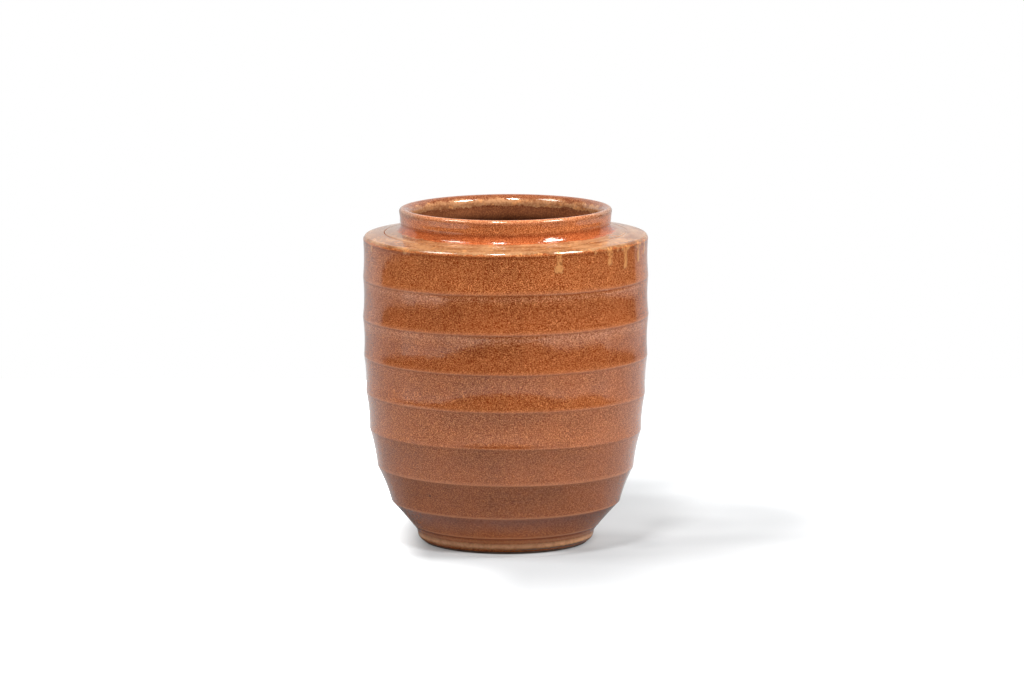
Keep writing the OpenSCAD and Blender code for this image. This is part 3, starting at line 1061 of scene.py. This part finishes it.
def rust_glaze():
    """Glossy rust glaze. Pooled glaze, with painted shade under the ridges, is darker, and thin glaze is
    lighter:
    on the ridges with a painted highlight, on the foot with painted light. The neck and the lip carry painted
    sheen, the lip's sides painted shade and sheen, the toe painted shade, two bands pale strips of painted
    reflection, and one lower band a painted dark reflection; three bands are made darker.
    """
    made, tree, shader, place = new_finish("rust glaze", ior=GLAZE_IOR, specular_tint=GLAZE_SHINE)
    rust = grouped(tree, RUST_COLOUR, place)
    # Painted sheen on the neck and the lip, painted shade on the toe and the low bands, pale strips of
    # painted reflection
    colour = tinted(tree, rust["Colour"], neck=NECK_SHEEN_TINT, waist=WAIST_TINT, lip=LIP_SHEEN_TINT, mouth=MOUTH_TINT,
                    toe=TOE_PAINTED_SHADE, deep=DARKER_BANDS_TINT, strip=REFLECTION_STRIP_TINT)
    # Painted shade and sheen at the lip's left and right sides
    across = maths(tree, "ABSOLUTE", parts_of(tree, place)["X"])
    lip_side_shade_sheen = times(tree, attribute(tree, "lip"), ranged(tree, across, *LIP_SIDES_PAINTED))
    colour = mixed(tree, lip_side_shade_sheen, colour, LIP_SIDE_SHADE_SHEEN_TINT, "MULTIPLY")
    # Crests: thin glaze, lighter still by a painted highlight
    colour = mixed(tree, attribute(tree, "crest"), colour, THIN_GLAZE_AND_HIGHLIGHT)
    # Gutters: pooled glaze darkened further by painted shade
    colour = mixed(tree, times(tree, attribute(tree, "gutter"), GUTTER_SHARE), colour, POOLED_GLAZE_AND_SHADE)
    # A painted dark reflection over a ridge, only round a place at the front
    near = ranged(tree, distance(tree, place, DARK_REFLECTION_PLACE), *DARK_REFLECTION_SHARES)
    colour = mixed(tree, times(tree, attribute(tree, "line"), near), colour, POOLED_GLAZE_AND_SHADE)
    # Foot roll: thin glaze, lighter still by painted light
    foot_thin_and_lit = times(tree, attribute(tree, "foot"), ranged(tree, rust["Skin"], *FOOT_SHARES))
    colour = mixed(tree, foot_thin_and_lit, colour, FOOT_OCHRE_AND_LIGHT)
    tree.links.new(colour, shader["Base Color"])
    tree.links.new(ranged(tree, rust["Fleck"], *GLAZE_ROUGHNESS), shader["Roughness"])
    tree.links.new(relief(tree, rust["Skin"], SKIN_DEPTH), shader["Normal"])
    return made


# Ochre glaze: its colours, the mix of streaks and mottle, lighter dabs, and the ranges of bead and cover,
# which the mottle makes uneven
OCHRE_DEEP = (0.21, 0.074, 0.026)
OCHRE = (0.43, 0.22, 0.1)
BEAD_OCHRE = (0.68, 0.295, 0.1)
MOUTH_OCHRE = (1.2, 1.14, 1.18)
STREAKS = {"Pitch": 0.006, "Reach": 0.02}
STREAK_SHARE = 0.5
MOTTLE = {"scale": 520, "detail": 3, "roughness": 0.65}
SHADE_RANGE = (0.35, 0.65)
DABS = {"scale": 170, "detail": 2, "roughness": 0.6}
DAB_SHARES = (0.56, 0.7, 0.0, 0.45)
UNEVEN = 2.0
BEAD_RANGE = (0.25, 0.8)
COVER_RANGE = (0.1, 0.9)
OCHRE_HOLE = 0.5
SCRIBED_DULL = 0.8


def ochre_glaze():
    """Streaked ochre, broken at its edge, where the rust shows through it."""
    made, tree, shader, place = new_finish("ochre glaze", ior=GLAZE_IOR, specular_tint=GLAZE_SHINE)
    rust = grouped(tree, RUST_COLOUR, place)
    streak = grouped(tree, TURNING, place, STREAKS)["Line"]
    mottle = noise(tree, place, **MOTTLE)
    shade = total(tree, times(tree, streak, STREAK_SHARE), times(tree, mottle, 1 - STREAK_SHARE))
    ochre = mixed(tree, ranged(tree, shade, *SHADE_RANGE), OCHRE_DEEP, OCHRE)
    ochre = mixed(tree, ranged(tree, noise(tree, place, **DABS), *DAB_SHARES), ochre, BEAD_OCHRE)
    uneven = times(tree, maths(tree, "SUBTRACT", mottle, NOISE_MEAN), UNEVEN)
    bead = ranged(tree, total(tree, attribute(tree, "bead"), uneven), *BEAD_RANGE)
    ochre = tinted(tree, mixed(tree, bead, ochre, BEAD_OCHRE), mouth=MOUTH_OCHRE)
    under = tinted(tree, rust["Colour"], waist=WAIST_TINT, mouth=MOUTH_TINT)
    cover = ranged(tree, total(tree, attribute(tree, "cover"), uneven), *COVER_RANGE)
    colour = mixed(tree, cover, under, ochre)
    colour = mixed(tree, times(tree, rust["Hole"], OCHRE_HOLE), colour, POOLED_GLAZE_AND_SHADE)
    scribed = attribute(tree, "scribed")
    tree.links.new(mixed(tree, scribed, colour, POOLED_GLAZE_AND_SHADE), shader["Base Color"])
    glossy = ranged(tree, rust["Fleck"], *GLAZE_ROUGHNESS)
    dull = maths(tree, "MAXIMUM", times(tree, scribed, SCRIBED_DULL), glossy)
    tree.links.new(dull, shader["Roughness"])
    tree.links.new(relief(tree, rust["Skin"], SKIN_DEPTH), shader["Normal"])
    return made


# Liner glaze, which is darker below the mouth: from a height to a height
LINER_DARK = (0.14, 0.04, 0.016)
LINER_WARM = (0.23, 0.075, 0.032)
LINER_DEPTH = (0.22, 0.19, 0.18)
LINER_DARKENS = (0.2565, 0.248)
LINER_FLECKS = {"Size": 0.0011, "Cloud size": 0.03}
LINER_FLECK_SHARE = 0.18
LINER_ROUGHNESS = (0, 1, 0.14, 0.24)
LINER_SKIN = 0.00006


def liner_glaze():
    made, tree, shader, place = new_finish("liner glaze", ior=GLAZE_IOR)
    flecks = grouped(tree, FLECKS, place, LINER_FLECKS)
    colour = mixed(tree, flecks["Cloud"], LINER_DARK, LINER_WARM)
    colour = mixed(tree, times(tree, flecks["Fleck"], LINER_FLECK_SHARE), colour, LIGHT_FLECK)
    deep = ranged(tree, parts_of(tree, place)["Z"], *LINER_DARKENS)
    tree.links.new(mixed(tree, deep, colour, LINER_DEPTH, "MULTIPLY"), shader["Base Color"])
    tree.links.new(ranged(tree, flecks["Fleck"], *LINER_ROUGHNESS), shader["Roughness"])
    tree.links.new(relief(tree, flecks["Grain"], LINER_SKIN), shader["Normal"])
    return made


# Bare clay on the foot, with dark specks
CLAY_DARK = (0.17, 0.1, 0.065)
CLAY_LIGHT = (0.29, 0.19, 0.135)
CLAY_FLECKS = {"Size": 0.0006, "Cloud size": 0.012}
CLAY_SPECKS = (0.75, 1.0, 0.0, 0.6)
CLAY_ROUGHNESS = (0, 1, 0.75, 0.95)
CLAY_GRAIN = 0.00012
CLAY_IOR = 1.45


def bare_clay():
    made, tree, shader, place = new_finish("bare clay", ior=CLAY_IOR)
    flecks = grouped(tree, FLECKS, place, CLAY_FLECKS)
    colour = mixed(tree, flecks["Cloud"], CLAY_DARK, CLAY_LIGHT)
    colour = mixed(tree, ranged(tree, flecks["Fleck"], *CLAY_SPECKS), colour, CLAY_DARK)
    tree.links.new(colour, shader["Base Color"])
    tree.links.new(ranged(tree, flecks["Fleck"], *CLAY_ROUGHNESS), shader["Roughness"])
    tree.links.new(relief(tree, flecks["Fleck"], CLAY_GRAIN), shader["Normal"])
    return made


# Pieces

RUST = rust_glaze()
OCHRE_FINISH = ochre_glaze()
CLAY = bare_clay()
finished("rust_glaze_coat", rust_coat(RUST), "rust_glaze", "outer_glaze")
finished("liner_coat", liner_coat(liner_glaze()), "liner_glaze", "liner_glaze")
finished("ochre_shoulder_coat", shoulder_overglaze(OCHRE_FINISH), "ochre_glaze", "shoulder_overglaze")
finished("ochre_mouth_coat", mouth_overglaze(OCHRE_FINISH), "ochre_glaze", "mouth_overglaze")
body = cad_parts["stoneware_body"]
for holder in body.material_slots:
    holder.material = CLAY


# Studio: a white table and a white wall behind it, in a room that is dark in front

WALL_Y = 0.8
WALL_LEFT = -1.62
WALL_RIGHT = 1.08
WALL_H = 1.0
TABLE = ((-0.60, -0.59), (-0.3, -0.56), (0.30, -0.56), (0.42, -0.58), (0.56, -0.54), (0.66, -0.41),
         (0.72, -0.26), (0.80, -0.13), (1.0, -0.07), (1.12, 0.3), (WALL_RIGHT, WALL_Y), (WALL_LEFT, WALL_Y),
         (-1.37, 0.45), (-1.14, -0.1), (-0.87, -0.5), (-0.76, -0.57))
TABLE_WHITE = (0.312, 0.32, 0.326)
WALL_GREY = (0.3, 0.3, 0.3)
PAPER_ROUGHNESS = 0.9
ROOM = (0.04, 0.04, 0.04)
WHITE = (1, 1, 1)

# Glow of the table as it is looked at, each from a place to a place and from a level to a level: away from
# the pot, on its left, in a ring before its foot, further off on the left, and before it on the right
GLOW_AWAY = (0.12, 0.4, 0.17, 0.87)
GLOW_LEFT = (-0.058, -0.1, 0.0, 0.9)
RING_INSIDE = (0.066, 0.07)
RING_OUTSIDE = (0.083, 0.071, 0.0, 0.36)
RING_FRONT = (-0.05, -0.07)
GLOW_FAR = (0.085, 0.16, 0.0, 0.6)
FAR_LEFT = (0.02, -0.06)
GLOW_RIGHT = (0.06, 0.15, 0.0, 0.13)
RIGHT_FRONT = (0.01, -0.05)

# Soft round patches of more or less glow beside the pot: place, reach, reach of the full share, share
PATCHES = (((0.12, 0.08, 0), 0.12, 0.03, 0.25), ((0.12, 0.275, 0), 0.088, 0.02, -0.25),
           ((0.205, 0.1, 0), 0.08, 0.02, -0.09), ((0.083, -0.02, 0), 0.035, 0.01, 0.07),
           ((0.152, 0.062, 0), 0.05, 0.01, -0.1), ((0.107, -0.025, 0), 0.028, 0.005, -0.06))

# Glow that the glaze mirrors: away from the pot, at the table's front, and far to the left and the right,
# there only before the pot. Then the little that the table sends up close to the pot
MIRRORED_AWAY = (0.12, 0.25, 0.0, 0.34)
MIRRORED_FRONT = (-0.36, -0.6, 0.0, 0.85)
MIRRORED_LEFT = (-0.4, -0.9, 0.0, 0.8)
MIRRORED_RIGHT = (0.35, 0.7, 0.0, 0.6)
SIDES_FRONT = (0.05, -0.1)
BOUNCED = (0.22, 0.1, 0.0, 0.13)

# Glow of the wall, up from the table and to the left
WALL_GLOW = (0.35, 0.85, 0.29, 0.1)
WALL_GLOW_LEFT = (-0.4, -0.9, 0.0, 0.25)


def sheet(name, corners, finish):
    mesh = bpy.data.meshes.new(name)
    mesh.from_pydata(corners, [], [tuple(range(len(corners)))])
    mesh.materials.append(finish)
    made = into_scene(name, mesh)
    return made


def straight_look(tree, path):
    """One where a surface is looked at, and nothing where it lights others or is mirrored."""
    return maths(tree, "MAXIMUM", path["Is Camera Ray"], path["Is Transmission Ray"])


def glowing_paper(name, colour):
    """A paper finish with white glow, and the nodes that its glow is made of."""
    made, tree, shader, place = new_finish(name, roughness=PAPER_ROUGHNESS, base_color=(*colour, 1),
                                           emission_color=(*WHITE, 1))
    path = node(tree, "ShaderNodeLightPath").outputs
    return made, tree, shader["Emission Strength"], place, path


def white_table():
    """Paper that glows a little, more so away from the pot and on its left, with patches that shape the pot's
    shadow. The glaze mirrors the front and the sides brighter, and hardly any glow close to the pot."""
    made, tree, strength, place, path = glowing_paper("white table", TABLE_WHITE)
    parts = parts_of(tree, place)
    away = distance(tree, place)
    shown = total(tree, ranged(tree, away, *GLOW_AWAY), ranged(tree, parts["X"], *GLOW_LEFT))
    ring = times(tree, ranged(tree, away, *RING_INSIDE), ranged(tree, away, *RING_OUTSIDE))
    for share, where in ((ring, ranged(tree, parts["Y"], *RING_FRONT)),
                         (ranged(tree, away, *GLOW_FAR), ranged(tree, parts["X"], *FAR_LEFT)),
                         (ranged(tree, parts["X"], *GLOW_RIGHT), ranged(tree, parts["Y"], *RIGHT_FRONT))):
        shown = total(tree, shown, times(tree, share, where))
    for at, reach, full, share in PATCHES:
        shown = total(tree, shown, ranged(tree, distance(tree, place, at), reach, full, 0.0, share))
    sides = total(tree, ranged(tree, parts["X"], *MIRRORED_LEFT), ranged(tree, parts["X"], *MIRRORED_RIGHT))
    mirrored = total(tree, ranged(tree, away, *MIRRORED_AWAY), ranged(tree, parts["Y"], *MIRRORED_FRONT),
                     times(tree, sides, ranged(tree, parts["Y"], *SIDES_FRONT)))
    glow = total(tree, times(tree, straight_look(tree, path), shown),
                 times(tree, path["Is Glossy Ray"], mirrored),
                 times(tree, path["Is Diffuse Ray"], ranged(tree, away, *BOUNCED)))
    tree.links.new(glow, strength)
    return made


def white_wall():
    """Paper that grows darker towards its top and brighter to the left."""
    made, tree, strength, place, path = glowing_paper("white wall", WALL_GREY)
    parts = parts_of(tree, place)
    glow = total(tree, ranged(tree, parts["Z"], *WALL_GLOW), ranged(tree, parts["X"], *WALL_GLOW_LEFT))
    seen = maths(tree, "MAXIMUM", straight_look(tree, path), path["Is Glossy Ray"])
    tree.links.new(times(tree, seen, glow), strength)
    return made


def studio_room():
    """A room that is dark where it lights the pot, and white where it is looked at."""
    world = bpy.data.worlds.new("studio")
    world.use_nodes = True
    tree = world.node_tree
    looked_at = straight_look(tree, node(tree, "ShaderNodeLightPath").outputs)
    tree.links.new(mixed(tree, looked_at, ROOM, WHITE), tree.nodes["Background"].inputs["Color"])
    return world


sheet("table", [(x, y, 0) for x, y in TABLE], white_table())
wall = sheet("wall", [(WALL_LEFT, WALL_Y, 0), (WALL_RIGHT, WALL_Y, 0), (WALL_RIGHT, WALL_Y, WALL_H),
                      (WALL_LEFT, WALL_Y, WALL_H)], white_wall())
wall.visible_camera = False
bpy.context.scene.world = studio_room()

# Softboxes: bearing from the front and elevation, distance, width, height, level
SOFTBOXES = {"left box": (-75.5, 52, 2.6, 0.85, 0.75, 1.78),
             "middle box": (-12.6, 62.3, 2.6, 0.4, 0.55, 2.95),
             "right box": (66, 48.5, 2.4, 0.68, 0.62, 3.35)}
LIT_PLACE = Vector((0, 0, 0.2))


def look_at(made, target, bearing, elevation, metres):
    """Puts a lamp or the camera off from a target, at a bearing and an elevation in degrees, and turns it to
    the target."""
    b, e = math.radians(bearing), math.radians(elevation)
    away = Vector((math.sin(b) * math.cos(e), -math.cos(b) * math.cos(e), math.sin(e)))
    made.location = target + away * metres
    made.rotation_mode = "QUATERNION"
    made.rotation_quaternion = away.to_track_quat("Z", "Y")


def softbox(name, bearing, elevation, metres, width, height, level):
    """An area lamp that faces a place on the pot's axis. Its level is the light that it sends there."""
    lamp = bpy.data.lights.new(name, "AREA")
    lamp.shape = "RECTANGLE"
    lamp.size, lamp.size_y = width, height
    lamp.energy = level * math.pi * metres ** 2
    look_at(into_scene(name, lamp), LIT_PLACE, bearing, elevation, metres)


for name, sizes in SOFTBOXES.items():
    softbox(name, *sizes)


# Camera, from the place the photograph was taken

IMAGE_W = 1024
IMAGE_H = 683
PIXEL = 0.8011 * MM
CAMERA_PIXELS = 5260
CAMERA_BEARING = 0
CAMERA_ELEVATION = 9.09
AIM_PLACE = Vector((0, 0, 0.13475))
AIM_PIXEL = (505.65, 373.0)
SENSOR_W = 36

camera_data = bpy.data.cameras.new("camera")
camera_data.sensor_width = SENSOR_W
camera_data.lens = CAMERA_PIXELS / IMAGE_W * SENSOR_W
camera_data.shift_x = (IMAGE_W / 2 - AIM_PIXEL[0]) / IMAGE_W
camera_data.shift_y = (AIM_PIXEL[1] - IMAGE_H / 2) / IMAGE_W
camera = into_scene("camera", camera_data)
look_at(camera, AIM_PLACE, CAMERA_BEARING, CAMERA_ELEVATION, CAMERA_PIXELS * PIXEL)
bpy.context.scene.camera = camera
bpy.context.scene.view_settings.view_transform = "Standard"
